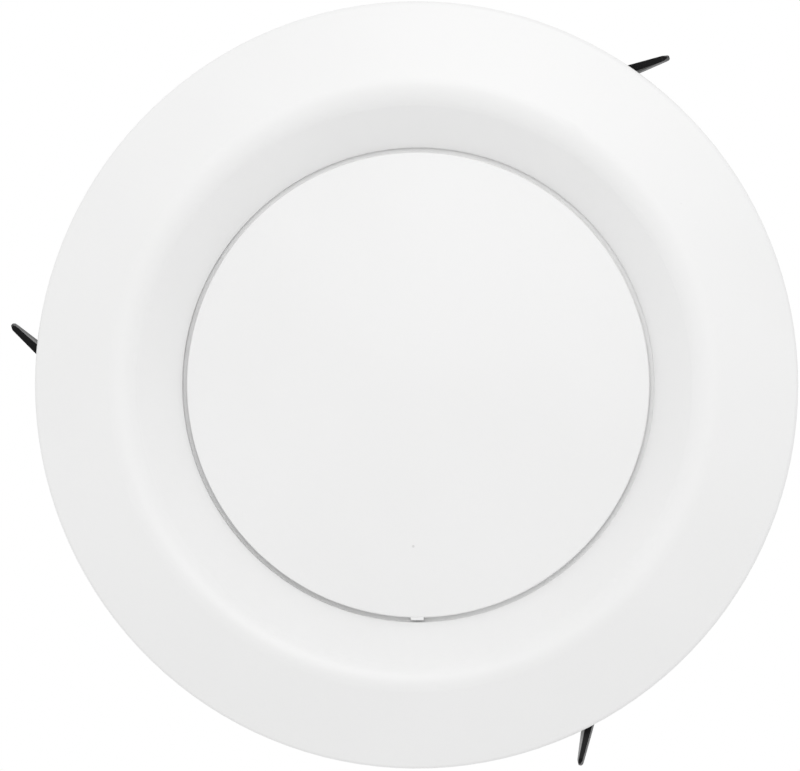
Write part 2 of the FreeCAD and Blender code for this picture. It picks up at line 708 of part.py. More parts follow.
# Ribs on the back of the disc, a ring under the spindle's foot, and three bosses.
rib_low = plate_back - 0.6
sk = new_sketch(disc, "XZ_Plane")
outline(sk, [
    (D["foot_radius"] - 1.0, rib_low),
    (D["foot_radius"] - 1.0, D["hub_seat"] - 0.6),
    (D["foot_radius"] + 2.0, D["hub_seat"] - 0.6),
    (inner + 0.5, disc_front + D["disc_wall"] + 0.9),
    (inner + 0.5, disc_front + 0.8),
])
rib = grow(disc, sk, D["rib_wall"], both=True)
repeat(disc, rib, 9)
spin(disc, [
    (D["foot_radius"] - 2.0, rib_low),
    (D["foot_radius"], rib_low),
    (D["foot_radius"], D["hub_seat"]),
    (D["foot_radius"] - 2.0, D["hub_seat"]),
])
sk = new_sketch(disc, "XY_Plane", rib_low)
ring(sk, D["foot_screws_at"], 0.0, D["boss_round"] - 0.8)
boss = grow(disc, sk, D["hub_seat"] - rib_low)
repeat(disc, boss, ARMS)
sk = new_sketch(disc, "XY_Plane", D["hub_seat"])
ring(sk, D["foot_screws_at"], 0.0, D["screw_shank"])
hole = cut(disc, sk, D["hub_seat"] - plate_back - 0.4, down=True)
repeat(disc, hole, ARMS)

# Gate mark: the small stub left on the skirt at the front's lower edge.
sk = new_sketch(disc, "XY_Plane", disc_front + 0.2)
half = D["gate_width"] / 2.0
outline(sk, [
    (outer - 1.2, -half),
    (outer + D["gate_out"], -half, 0.4),
    (outer + D["gate_out"], half, 0.4),
    (outer - 1.2, half),
])
grow(disc, sk, 0.8)

# Spindle with its foot, its hollow and the groove for the stop clip.
clip_low = nut_top + D["travel"] + D["clip_gap"]
clip_high = clip_low + D["clip_thick"]
foot_top = D["hub_seat"] + D["foot_thick"]
groove = D["spindle_radius"] - D["groove_depth"]
spindle = new_body("spindle", disc_turn)
spin(spindle, [
    (D["spindle_bore"], D["hub_seat"]),
    (D["foot_radius"], D["hub_seat"]),
    (D["foot_radius"], foot_top, 0.8),
    (D["spindle_radius"], foot_top),
    (D["spindle_radius"], clip_low),
    (groove, clip_low),
    (groove, clip_high),
    (D["spindle_radius"], clip_high),
    (D["spindle_radius"], clip_high + 1.5),
    (D["spindle_radius"] - 1.2, clip_high + 2.7),
    (D["spindle_bore"], clip_high + 2.7),
])
sk = new_sketch(spindle, "XY_Plane", D["hub_seat"] - 1.0)
ring(sk, D["foot_screws_at"], 0.0, D["screw_shank"] + 0.2)
hole = cut(spindle, sk, D["foot_thick"] + 2.0)
repeat(spindle, hole, ARMS)

screw = new_body("hub_screw")
fastener(screw, "XY_Plane", foot_top, D["screw_shank"], D["foot_thick"] + 3.6,
         D["screw_head"], D["screw_head_thick"])
group("hub_screws", screw, [turned(90.0 + TURN / ARMS * k, D["foot_screws_at"].value)
                            for k in range(ARMS)])

# Stop clip: an open ring with three inward teeth in the groove.
clip = new_body("stop_clip", disc_turn)
sk = new_sketch(clip, "XY_Plane", clip_low)
ring(sk, 0.0, 0.0, D["clip_radius"])
grow(clip, sk, D["clip_thick"])
sk = new_sketch(clip, "XY_Plane", clip_low - 1.0)
ring(sk, 0.0, 0.0, groove + 0.02)
cut(clip, sk, D["clip_thick"] + 2.0)
sk = new_sketch(clip, "XY_Plane", clip_low - 1.0)
mouth = groove - 1.6
outline(sk, [
    (0.0, -mouth), (D["clip_radius"] + 2.0, -mouth - 1.5),
    (D["clip_radius"] + 2.0, mouth + 1.5), (0.0, mouth),
])
cut(clip, sk, D["clip_thick"] + 2.0)

# Spring cup that slides on the spindle's foot.
cup_low = foot_top + 0.2
spring_seat = cup_low + D["cup_wall"]
cup = new_body("spring_cup")
spin(cup, [
    (D["spindle_radius"] + 0.4, cup_low),
    (D["cup_radius"], cup_low, 0.8),
    (D["cup_radius"], cup_low + D["cup_depth"]),
    (D["cup_radius"] - D["cup_wall"], cup_low + D["cup_depth"]),
    (D["cup_radius"] - D["cup_wall"], spring_seat),
    (D["spindle_radius"] + 0.4, spring_seat),
])


def biarc(p0, t0, p1, t1):
    """Two arcs that join smoothly and leave and arrive along the given directions."""
    chord = p1 - p0
    both = t0 + t1
    square = 2.0 * (1.0 - t0.dot(t1))
    along = chord.dot(both)
    d = (math.sqrt(along * along + square * chord.dot(chord)) - along) / square
    q0 = p0 + t0 * d
    q1 = p1 - t1 * d
    joint = (q0 + q1) * 0.5
    edges = []
    for a, q, b in ((p0, q0, joint), (joint, q1, p1)):
        middle = (a + b) * 0.5
        half = (b - a).Length / 2.0
        rise = q - middle
        bend = math.atan2(rise.Length, half)
        through = middle + rise * (math.tan(bend / 2.0) / math.tan(bend))
        edges.append(Part.Arc(a, through, b).toShape())
    return edges


def helix(turn_point, start, stop, steps):
    """Biarcs along a coil. turn_point gives the point and direction at an angle."""
    edges = []
    for k in range(steps):
        a = start + (stop - start) * k / steps
        b = start + (stop - start) * (k + 1) / steps
        p0, t0 = turn_point(a)
        p1, t1 = turn_point(b)
        edges += biarc(p0, t0, p1, t1)
    return edges


def tube(edges, wire):
    """One unbroken round wire along the edges."""
    path = Part.Wire(Part.__sortEdges__(edges))
    start = edges[0].valueAt(edges[0].FirstParameter)
    way = edges[0].tangentAt(edges[0].FirstParameter)
    section = Part.Wire(Part.Circle(start, way, wire / 2.0).toShape())
    return path.makePipeShell([section], True, False)


def coil_gap(turn_point, start, stop, wire):
    """Least gap between the turns of a coil, from points along it."""
    steps = max(2, int((stop - start) / math.radians(6.0)))
    pts = [turn_point(start + (stop - start) * k / steps)[0] for k in range(steps + 1)]
    apart = int(math.pi / math.radians(6.0))
    least = min((a - b).Length for i, a in enumerate(pts) for b in pts[i + apart:])
    return least - wire


def spring_feature(label, shape, place):
    made = doc.addObject("Part::Feature", label)
    made.Label = label
    made.Shape = shape
    made.Placement = place
    parts.append(made)
    return made


# Disc spring between the cup and the hub: open turns, as the photo's setting leaves it.
coil = D["spring_coil"].value
wire = D["spring_wire"].value
low = spring_seat.value + wire / 2.0
high = D["hub_bottom"].value - wire / 2.0
turns = 5.0
climb = (high - low) / (turns * 2.0 * math.pi)


def disc_coil(angle):
    point = FreeCAD.Vector(coil * math.cos(angle), coil * math.sin(angle), low + climb * angle)
    way = FreeCAD.Vector(-coil * math.sin(angle), coil * math.cos(angle), climb).normalize()
    return point, way


sweep = turns * 2.0 * math.pi
spring = tube(helix(disc_coil, 0.0, sweep, int(turns * 2)), wire)
print("disc spring gap", round(coil_gap(disc_coil, 0.0, sweep, wire), 3))
spring_feature("tension_spring", spring, FreeCAD.Placement())

# The three arms, each with its bracket, pin, washer and spring.
pin_hole = D["pin_radius"] + D["pin_play"]
arm_inner = D["arm_plane"] - D["arm_thick"] / 2.0
arm_outer = D["arm_plane"] + D["arm_thick"] / 2.0
coil_from = arm_outer + D["side_gap"] + D["arm_wire"] / 2.0
coil_to = coil_from + D["arm_pitch"] * 3.0
boss_end = coil_to + D["arm_wire"] / 2.0 + 0.4
washer_from = boss_end + 0.2
head_from = washer_from + D["washer_thick"]
droop = D["arm_droop"].value
lug_top = D["arm_coil"] - D["arm_wire"] / 2.0


def arm_coil_point(angle):
    """The arm spring's coil about the pivot, in the arm's plane."""
    start = math.pi / 2.0 - math.radians(droop)
    size = D["arm_coil"].value
    rate = D["arm_pitch"].value / (2.0 * math.pi)
    x = coil_from.value + rate * (angle - start)
    point = FreeCAD.Vector(x, size * math.cos(angle), size * math.sin(angle))
    way = FreeCAD.Vector(rate, -size * math.sin(angle), size * math.cos(angle)).normalize()
    return point, way


def arm_spring_shape():
    """A moving leg with a hook over the arm, three turns, and a leg on the bracket's lug."""
    start = math.pi / 2.0 - math.radians(droop)
    stop = math.pi / 2.0 + 6.0 * math.pi
    p0, t0 = arm_coil_point(start)
    p1, t1 = arm_coil_point(stop)
    bend = 1.6
    leg_end = p0 - t0 * (D["arm_leg"].value - bend)
    hook_way = FreeCAD.Vector(-1.0, 0, 0)
    corner = leg_end - t0 * bend
    turned_in = corner + hook_way * bend
    hook_end = turned_in + hook_way * 1.6
    centre = leg_end + hook_way * bend
    mid = centre + ((leg_end - centre).normalize() + (turned_in - centre).normalize()).normalize() * bend
    edges = [
        Part.makeLine(hook_end, turned_in),
        Part.Arc(turned_in, mid, leg_end).toShape(),
        Part.makeLine(leg_end, p0),
    ]
    edges += helix(arm_coil_point, start, stop, 6)
    edges.append(Part.makeLine(p1, p1 + t1 * D["fixed_leg"].value))
    return tube(edges, D["arm_wire"].value)


def pivot_place(k):
    """Expression that puts a piece drawn about the pivot at arm k's place."""
    angle = D["first_arm_angle"] + TURN / ARMS * k + D["arm_%d_off" % (k + 1)]
    spot = "vector(0; 0; %s)" % D["pivot_height"].text
    return spot, "rotationz(%s)" % angle.text


def at_pivot(body, k, drooped=False):
    spot, way = pivot_place(k)
    if drooped:
        way += " * rotationx(-%s)" % D["arm_droop"].text
    body.setExpression("Placement", "placement(%s; %s)" % (spot, way))


def make_arm(k):
    body = new_body("clamp_arm_%d" % (k + 1))
    at_pivot(body, k, drooped=True)
    sk = new_sketch(body, "YZ_Plane", D["arm_plane"])
    root = D["arm_root"] / 2.0
    end = D["arm_end"] / 2.0
    outline(sk, [
        (0.0, -root),
        (D["arm_length"], -end, end * 0.55),
        (D["arm_length"], end, end * 0.9),
        (0.0, root),
    ])
    grow(body, sk, D["arm_thick"], both=True)
    # Bevels on the lower edges, before the hub covers the root.
    for side, size in ((arm_inner, D["arm_inner_cut"]), (arm_outer, D["arm_outer_cut"])):
        long_edges = []
        for i, line in enumerate(body.Tip.Shape.Edges, start=1):
            ends = [v.Point for v in line.Vertexes]
            low = max(p.z for p in ends) < 0.0 and abs(ends[0].x - side.value) < 0.01
            if low and line.Length > D["arm_length"].value * 0.8:
                long_edges.append("Edge%d" % i)
        soften(body, "Chamfer", long_edges, size)
    sk = new_sketch(body, "YZ_Plane", D["arm_plane"])
    ring(sk, 0.0, 0.0, D["arm_hub"])
    grow(body, sk, D["arm_thick"], both=True)
    sk = new_sketch(body, "YZ_Plane", arm_outer)
    ring(sk, 0.0, 0.0, D["arm_boss"])
    grow(body, sk, boss_end - arm_outer)
    # Shallow panels on both sides leave a web with flanges.
    for away, down in ((arm_outer, True), (arm_inner, False)):
        sk = new_sketch(body, "YZ_Plane", away)
        inset = D["arm_root"] / 2.0 - 1.7
        inset_end = D["arm_end"] / 2.0 - 1.2
        far = D["arm_length"] - D["arm_taper"] - 6.0
        outline(sk, [
            (D["arm_hub"] + 4.0, -inset, 1.2),
            (far, -inset_end, 1.2),
            (far, inset_end, 1.2),
            (D["arm_hub"] + 4.0, inset, 1.2),
        ])
        cut(body, sk, 0.8, down=down)
    # The tip thins towards its end, seen from below, and its last corners are cut off.
    past = D["arm_length"] + 2.0
    back = D["arm_length"] - D["arm_taper"]
    slim = D["arm_tip_thick"] / 2.0
    for side, sign in ((arm_outer, 1.0), (arm_inner, -1.0)):
        sk = new_sketch(body, "XY_Plane")
        outline(sk, [
            (side + sign, back), (side, back),
            (D["arm_plane"] + slim * sign, D["arm_length"] - 1.0),
            (D["arm_plane"] + slim * 0.4 * sign, D["arm_length"]),
            (D["arm_plane"] + slim * 0.4 * sign, past), (side + sign, past),
        ])
        cut(body, sk, D["arm_root"] + 4.0, both=True)
    sk = new_sketch(body, "YZ_Plane", arm_inner - 1.0)
    ring(sk, 0.0, 0.0, pin_hole)
    cut(body, sk, boss_end - arm_inner + 2.0)


def make_bracket(k):
    """Saddle plate with its stop under the arm and its lug under the spring's fixed leg."""
    body = new_body("arm_bracket_%d" % (k + 1))
    at_pivot(body, k)
    half = D["bracket_half"]
    left = -half - 3.5
    right = half - 2.0
    sk = new_sketch(body, "YZ_Plane", D["duct_radius"] - 3.0)
    outline(sk, [
        (left, -half, 2.5), (right, -half, 2.5), (right, half, 2.5), (left, half, 2.5),
    ])
    grow(body, sk, D["bracket_plane"] - D["duct_radius"] + 3.0)
    sk = new_sketch(body, "YZ_Plane", D["bracket_plane"] - 0.5)
    outline(sk, [
        (left + 0.4, lug_top - 4.2, 0.8), (left + 4.4, lug_top - 4.2, 0.8),
        (left + 4.4, lug_top), (left + 0.4, lug_top),
    ])
    grow(body, sk, coil_to + 1.6 - D["bracket_plane"])
    # The stop's top lies along the drooping arm's lower edge.
    fall = tan_of(D["arm_droop"])
    sk = new_sketch(body, "YZ_Plane", D["bracket_plane"] - 0.5)
    near = Size.of(6.0)
    under = D["arm_root"] / 2.0 / cos_of(D["arm_droop"]) + 0.45
    outline(sk, [
        (near, -under - near * fall - 4.6, 1.0),
        (right - 0.4, -under - near * fall - 4.6, 1.0),
        (right - 0.4, -under - (right - 0.4) * fall),
        (near, -under - near * fall),
    ])
    grow(body, sk, arm_outer - D["bracket_plane"] + 0.3)
    # The back is hollowed to the spigot's round.
    sk = new_sketch(body, "XY_Plane")
    ring(sk, 0.0, 0.0, D["duct_radius"])
    cut(body, sk, half * 2.0 + 4.0, both=True)
    sk = new_sketch(body, "YZ_Plane", D["duct_radius"] - 3.0)
    ring(sk, 0.0, 0.0, D["pin_radius"])
    for y, z in rivet_spots:
        ring(sk, y, z, D["rivet_radius"])
    cut(body, sk, 9.0)
    sk = new_sketch(body, "YZ_Plane", D["bracket_plane"])
    for y, z in rivet_spots:
        ring(sk, y, z, D["rivet_head"] + 0.1)
    cut(body, sk, D["rivet_sunk"], down=True)


def make_pin(k):
    """Pivot pin from inside the spigot through collar, bracket, arm and washer."""
    body = new_body("arm_pin_%d" % (k + 1))
    at_pivot(body, k)
    # A round head inside a round wall: its flat meets the wall at the head's two sides.
    reach = D["pin_head"].value
    seat = duct_inner.value - reach * reach / (2.0 * duct_inner.value)
    inside = duct_inner * (seat / duct_inner.value)
    sk = new_sketch(body, "YZ_Plane", inside)
    ring(sk, 0.0, 0.0, D["pin_radius"])
    grow(body, sk, head_from + D["pin_head_thick"] - inside)
    sk = new_sketch(body, "YZ_Plane", inside)
    ring(sk, 0.0, 0.0, D["pin_head"])
    grow(body, sk, D["pin_head_thick"], down=True)
    sk = new_sketch(body, "YZ_Plane", head_from)
    ring(sk, 0.0, 0.0, D["pin_head"])
    grow(body, sk, D["pin_head_thick"])
    rims = []
    for i, edge in enumerate(body.Tip.Shape.Edges, start=1):
        if is_round(edge) and abs(edge.Curve.Radius - reach) < 0.01:
            rims.append((edge.Curve.Center.x, "Edge%d" % i))
    soften(body, "Fillet", [min(rims)[1], max(rims)[1]], D["pin_head_thick"] * 0.5)


def make_washer(k):
    body = new_body("arm_washer_%d" % (k + 1))
    at_pivot(body, k)
    sk = new_sketch(body, "YZ_Plane", washer_from)
    ring(sk, 0.0, 0.0, D["washer_radius"])
    ring(sk, 0.0, 0.0, D["pin_radius"])
    grow(body, sk, D["washer_thick"])


spring_shape = arm_spring_shape()
gap = coil_gap(arm_coil_point, math.pi / 2.0 - math.radians(droop),
               math.pi / 2.0 + 6.0 * math.pi, D["arm_wire"].value)
print("arm spring gap", round(gap, 3))
for k in range(ARMS):
    make_bracket(k)
    make_pin(k)
    make_washer(k)
    make_arm(k)
    place = turned(arm_angles[k], 0.0, D["pivot_height"].value)
    spring_feature("arm_spring_%d" % (k + 1), spring_shape.copy(), place)

# Bracket rivets, two to a bracket, their heads sunk flush with its flat face.
rivet = new_body("bracket_rivet")
fastener(rivet, "YZ_Plane", D["bracket_plane"] - D["rivet_sunk"], D["rivet_radius"],
         D["bracket_plane"] - D["rivet_sunk"] - duct_inner + 0.6, D["rivet_head"], D["rivet_sunk"])
places = []
for angle in arm_angles:
    for y, z in rivet_spots:
        spot = FreeCAD.Placement(FreeCAD.Vector(0, y.value, z.value), FreeCAD.Rotation())
        places.append(turned(angle, 0.0, D["pivot_height"].value).multiply(spot))
group("bracket_rivets", rivet, places)

doc.recompute()
for thing in doc.Objects:
    if "Invalid" in thing.State or "Error" in thing.State:
        raise ValueError("%s failed: %s" % (thing.Label, thing.State))
os.makedirs("parts", exist_ok=True)
for part in parts:
    shape = part.Shape
    if shape.isNull() or not shape.isValid():
        raise ValueError("%s has a bad shape" % part.Label)
    shape.exportStep("parts/%s.step" % part.Label)
    box = shape.BoundBox
    print("%-16s %9.1f mm3  solids %d  z %.1f to %.1f" % (
        part.Label, shape.Volume, len(shape.Solids), box.ZMin, box.ZMax))
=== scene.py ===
"""Round white ceiling air diffuser seen from below, in metres.

The duct's axis is Z and the face looks down, along -Z. First come the finishes, then the
pieces that are made here in place of their plain stand-ins, then the light, the floor and
the camera. Sizes of pieces are written in millimetres and scaled by MM.
"""

import json
import math

import bmesh
import bpy
from mathutils import Matrix, Vector


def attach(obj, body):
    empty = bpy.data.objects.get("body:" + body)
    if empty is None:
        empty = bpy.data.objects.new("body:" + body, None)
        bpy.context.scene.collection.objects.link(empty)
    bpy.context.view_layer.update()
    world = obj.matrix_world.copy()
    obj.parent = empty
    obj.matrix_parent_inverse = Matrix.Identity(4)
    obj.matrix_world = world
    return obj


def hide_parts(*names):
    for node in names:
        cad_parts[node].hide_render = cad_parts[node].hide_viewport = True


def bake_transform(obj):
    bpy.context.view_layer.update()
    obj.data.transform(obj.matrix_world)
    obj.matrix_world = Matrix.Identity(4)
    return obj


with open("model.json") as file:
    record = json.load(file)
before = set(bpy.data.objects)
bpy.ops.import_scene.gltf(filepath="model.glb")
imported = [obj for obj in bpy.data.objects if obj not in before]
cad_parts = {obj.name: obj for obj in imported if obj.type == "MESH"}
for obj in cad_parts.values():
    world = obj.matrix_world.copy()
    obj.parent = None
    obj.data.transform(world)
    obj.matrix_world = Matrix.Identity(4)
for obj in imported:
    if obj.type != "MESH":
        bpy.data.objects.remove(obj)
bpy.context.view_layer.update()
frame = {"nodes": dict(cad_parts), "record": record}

nodes = frame["nodes"]

MM = 0.001
FULL_TURN = 2 * math.pi
WELD = 2e-6
WHITE = (1, 1, 1, 1)

# Where the clamp arms stand round the axis, and the height of their pivots.
ARM_ANGLES = [math.radians(a) for a in (10.4, 132.3, 251.7)]
PIVOT_HEIGHT = 34.0

# Even thirds, which the collar's ears and the bridge's feet are turned from.
EVEN_ANGLES = [math.radians(11.0 + 120.0 * k) for k in range(3)]

# Distances from the axis along an arm's pin: the bracket's outer face, the arm's inner side,
# the two ends of the arm's spring, and the underside of the pin's outer head.
BRACKET_FACE = 76.0
ARM_INSIDE = 77.1
COIL_FROM, COIL_TO = 80.95, 86.05
HEAD_FROM = 88.0

# The seam round the disc, painted lighter inside as painted light and darker on one side as painted
# shade. The painting sets in over the first two pairs, upwards and outwards, and stops over the
# third.
SEAM_UP, SEAM_OUT, SEAM_END = (9.5, 10.4), (75.5, 76.5), (80.8, 81.2)

# Small marks in the face's moulding: x, y and size, all at one height.
FACE_MARKS = ((-1.2, 54.9, 0.28), (-59.4, -59.3, 0.35), (31.0, -38.0, 0.2))
MARK_HEIGHT = 8.0


class Shade:
    """A shader value of one material. Arithmetic on it adds maths nodes."""

    def __init__(self, tree, socket=None):
        self.tree = tree
        self.socket = socket

    def add(self, kind, inputs=None, output=0, **settings):
        """A node of this kind, its settings first, then the values or links of its sockets."""
        node = self.tree.nodes.new(kind)
        for name, setting in settings.items():
            setattr(node, name, setting)
        for name, value in (inputs or {}).items():
            if isinstance(value, Shade):
                self.tree.links.new(value.socket, node.inputs[name])
            else:
                node.inputs[name].default_value = value
        return Shade(self.tree, node.outputs[output])

    def maths(self, operation, *values):
        return self.add("ShaderNodeMath", dict(enumerate(values)), operation=operation)

    def __add__(self, other):
        return self.maths("ADD", self, other)

    def __radd__(self, other):
        return self.maths("ADD", other, self)

    def __sub__(self, other):
        return self.maths("SUBTRACT", self, other)

    def __rsub__(self, other):
        return self.maths("SUBTRACT", other, self)

    def __mul__(self, other):
        return self.maths("MULTIPLY", self, other)

    def __rmul__(self, other):
        return self.maths("MULTIPLY", other, self)

    def between(self, low, high, unit=1.0):
        """0 below low, 1 above high, and smooth between them."""
        sizes = {"Value": self, "From Min": low * unit, "From Max": high * unit}
        return self.add("ShaderNodeMapRange", sizes, interpolation_type="SMOOTHSTEP")

    def noise(self, where, scale, detail=2.0):
        sizes = {"Vector": where, "Scale": scale, "Detail": detail}
        return self.add("ShaderNodeTexNoise", sizes)

    def cells(self, where, scale, feature="F1"):
        """Distance to the middle of a cell, or to its edge."""
        return self.add("ShaderNodeTexVoronoi", {"Vector": where, "Scale": scale}, feature=feature)

    def placed(self, where, scale, turn=(0, 0, 0)):
        """The place turned and stretched, so that a pattern on it is too."""
        sizes = {"Vector": where, "Rotation": turn, "Scale": scale}
        return self.add("ShaderNodeMapping", sizes)

    def mix(self, factor, first, second):
        """From the first colour to the second. Sockets 6 and 7 are the colours'."""
        inputs = {0: factor}
        for place, colour in ((6, first), (7, second)):
            inputs[place] = colour if isinstance(colour, Shade) else (*colour, 1)
        return self.add("ShaderNodeMix", inputs, 2, data_type="RGBA")

    def bump(self, height, distance, strength):
        sizes = {"Height": height, "Distance": distance, "Strength": strength}
        return self.add("ShaderNodeBump", sizes)

    def vector(self, operation, *vectors):
        """A value worked out from vectors."""
        return self.add(
            "ShaderNodeVectorMath", dict(enumerate(vectors)), "Value", operation=operation)

    def length(self, where):
        return self.vector("LENGTH", where)

    def reach(self, where, way):
        """How far the place lies this way from the middle."""
        return self.vector("DOT_PRODUCT", where, way)

    def facing(self, way):
        """1 where the surface faces this way, 0 across it."""
        normal = self.add("ShaderNodeNewGeometry", output="Normal")
        return self.vector("DOT_PRODUCT", normal, way)


def paint(name, **constants):
    """A new material: its own shader's constant sockets are set here."""
    material = bpy.data.materials.new(name)
    material.use_nodes = True
    shader = material.node_tree.nodes["Principled BSDF"]
    for socket, value in constants.items():
        shader.inputs[socket.replace("_", " ")].default_value = value
    base = Shade(material.node_tree)
    return material, base, base.add("ShaderNodeTexCoord", output="Object")


def lay(material, colour, roughness, normal, **others):
    """Links what changes over the surface to the shader."""
    shader = material.node_tree.nodes["Principled BSDF"]
    links = {"Base Color": colour, "Roughness": roughness, "Normal": normal, **others}
    for socket, value in links.items():
        material.node_tree.links.new(value.socket, shader.inputs[socket])
    return material


def white_face():
    """Satin white moulded plastic: a faint orange peel, soft flow clouds and a little dust, with
    painted light and painted shade in the seam round the disc.
    """
    dull_white, clear_white = (0.868, 0.868, 0.866), (0.882, 0.882, 0.881)
    # The seam's two colours: painted light inside the seam, and painted shade on its one side.
    painted_light_seam, painted_shade_seam = (0.965, 0.965, 0.963), (0.84, 0.84, 0.838)
    dust_grey, mark_grey = (0.5, 0.49, 0.47), (0.42, 0.41, 0.4)
    material, base, where = paint("white_face_plastic")
    cloud = base.noise(where, 14.0, 3.0)
    grain = base.noise(where, 1500.0)
    peel = base.noise(where, 380.0, 1.0)
    speck = base.cells(where, 60.0)
    dust = (1.0 - speck.between(0.008, 0.02)) * cloud.between(0.5, 0.58)
    tone = base.mix(cloud.between(0.3, 0.7), dull_white, clear_white)
    tone = base.mix(dust * 0.3, tone, dust_grey)
    # The seam round the disc: painted light makes it bright inside, and painted shade darkens it
    # towards -X and +Y.
    height = base.reach(where, (0, 0, 1))
    radius = base.length(base.placed(where, (1, 1, 0)))
    seam = height.between(*SEAM_UP, MM) * radius.between(*SEAM_OUT, MM)
    seam = seam * (1.0 - radius.between(*SEAM_END, MM))
    painted_shade_side = base.reach(where, (-0.9, 0.43, 0)).between(10.0, 75.0, MM)
    tone = base.mix(seam, tone, base.mix(painted_shade_side, painted_light_seam, painted_shade_seam))
    for x, y, size in FACE_MARKS:
        away = base.vector("DISTANCE", where, (x * MM, y * MM, MARK_HEIGHT * MM))
        mark = 1.0 - away.between(size, size * 2.2, MM)
        tone = base.mix(mark * 0.35, tone, mark_grey)
    return lay(
        material, tone, 0.34 + cloud * 0.1 + grain * 0.06,
        base.bump(peel * 0.7 + grain * 0.3, 0.00003, 0.55))


def black_arm(name, way, highlight_strength, wide=0.0, gloss=0.1):
    """Black moulded plastic, with a painted grey highlight on the long bevel on the axis's side,
    where it faces down and inwards. way is the arm's angle round the axis, grip is how strong the
    painted highlight is, and wide is how far in millimetres the painted highlight goes on beside
    the bevel."""
    black, worn_black = (0.005, 0.005, 0.0052), (0.011, 0.011, 0.0115)
    # The second of these greys is a painted highlight.
    scratch_grey, painted_highlight_grey = (0.05, 0.05, 0.05), (0.33, 0.33, 0.33)
    material, base, where = paint(name, Specular_IOR_Level=gloss)
    along = base.placed(where, (500.0, 24.0, 500.0), turn=(0, 0, -way))
    scratch = base.noise(along, 1.0)
    cloud = base.noise(where, 90.0, 3.0)
    grain = base.noise(where, 1300.0)
    slant = math.sqrt(0.5)
    # Painted highlight: the bevel that faces down and inwards is painted grey in place of the light
    # it reflects.
    lit = base.facing((-math.cos(way) * slant, -math.sin(way) * slant, -slant))
    painted_highlight = lit.between(0.86, 0.96)
    # With wide, the painted highlight goes on past the bevel on the axis's side.
    if wide:
        inner = base.reach(where, (math.cos(way), math.sin(way), 0))
        edge = 1.0 - inner.between(ARM_INSIDE + wide, ARM_INSIDE + wide + 0.2, MM)
        painted_highlight = painted_highlight.maths("MAXIMUM", painted_highlight, edge * lit.between(0.5, 0.6))
    painted_highlight = painted_highlight * highlight_strength * (0.75 + cloud * 0.5)
    tone = base.mix(cloud, black, worn_black)
    tone = base.mix(scratch.between(0.66, 0.78) * 0.35, tone, scratch_grey)
    tone = base.mix(painted_highlight, tone, painted_highlight_grey)
    return lay(
        material, tone, 0.3 + cloud * 0.16 + scratch.between(0.6, 0.8) * 0.15,
        base.bump(scratch * 0.5 + grain * 0.5, 0.00004, 0.5))


def turned_plastic(name, light, dark, rings_per_metre=900.0):
    """Matt moulded plastic with fine rings from the mould's turning, and faint handling marks."""
    smear_grey = tuple(0.75 * c for c in dark)
    material, base, where = paint(name)
    cloud = base.noise(where, 35.0, 4.0)
    height = base.reach(where, (0, 0, 1))
    rings = (height * (FULL_TURN * rings_per_metre) + cloud * 6.0).maths("SINE")
    grain = base.noise(where, 1100.0)
    smear = base.noise(base.placed(where, (30.0, 30.0, 160.0)), 1.0, 3.0)
    tone = base.mix(cloud.between(0.25, 0.75), dark, light)
    tone = base.mix(smear.between(0.58, 0.72) * 0.25, tone, smear_grey)
    return lay(
        material, tone, 0.42 + smear * 0.2,
        base.bump(rings * 0.25 + grain * 0.6, 0.00003, 0.5))


def zinc_plate():
    """Bright zinc with a crystalline cloud and fine wear."""
    dark_zinc, light_zinc, crystal_grey = (0.56, 0.57, 0.58), (0.7, 0.7, 0.69), (0.45, 0.46, 0.48)
    material, base, where = paint("zinc_plate")
    crystal = base.cells(where, 700.0)
    cloud = base.noise(where, 260.0, 3.0)
    tone = base.mix(cloud.between(0.3, 0.7), dark_zinc, light_zinc)
    tone = base.mix(crystal.between(0.3, 0.7) * 0.2, tone, crystal_grey)
    metal = 1.0 - cloud.between(0.68, 0.8) * 0.3
    return lay(
        material, tone, 0.24 + cloud * 0.22, base.bump(crystal, 0.00001, 0.4), Metallic=metal)


def drawn_wire():
    """Spring steel drawn through a die: long fine lines, with a little oil and tarnish."""
    dark_steel, light_steel = (0.38, 0.38, 0.4), (0.55, 0.55, 0.56)
    line_grey = tuple(0.6 * c for c in dark_steel)
    material, base, where = paint("spring_wire")
    lines = base.noise(where, 2600.0, 1.0)
    cloud = base.noise(where, 120.0, 3.0)
    tone = base.mix(cloud.between(0.3, 0.7), dark_steel, light_steel)
    tone = base.mix(lines.between(0.55, 0.75) * 0.4, tone, line_grey)
    metal = 1.0 - cloud.between(0.62, 0.75) * 0.25
    return lay(
        material, tone, 0.22 + cloud * 0.2 + lines * 0.08,
        base.bump(lines, 0.000012, 0.5), Metallic=metal)


def cell_foam():
    """Grey closed-cell foam: open pores on the cut skin, painted dark as shade in their hollows,
    and paler cell walls.
    """
    dark_foam, light_foam = (0.13, 0.13, 0.135), (0.2, 0.2, 0.205)
    # The first of these greys is painted shade for the pores' hollows.
    pore_shade_grey, wall_grey = (0.035, 0.035, 0.037), (0.32, 0.32, 0.33)
    material, base, where = paint("closed_cell_foam")
    pores = base.cells(where, 1250.0)
    walls = base.cells(where, 620.0, "DISTANCE_TO_EDGE")
    cloud = base.noise(where, 45.0, 3.0)
    # Painted shade: the open pores are painted dark where their hollows would be in shade.
    painted_pore_shade = 1.0 - pores.between(0.12, 0.5)
    tone = base.mix(cloud, dark_foam, light_foam)
    tone = base.mix(painted_pore_shade * 0.7, tone, pore_shade_grey)
    tone = base.mix((1.0 - walls.between(0.02, 0.12)) * 0.3, tone, wall_grey)
    height = pores.between(0.0, 0.6) * 0.7 + walls.between(0.0, 0.2) * 0.3
    return lay(material, tone, 0.82 + cloud * 0.12, base.bump(height, 0.0003, 0.9))


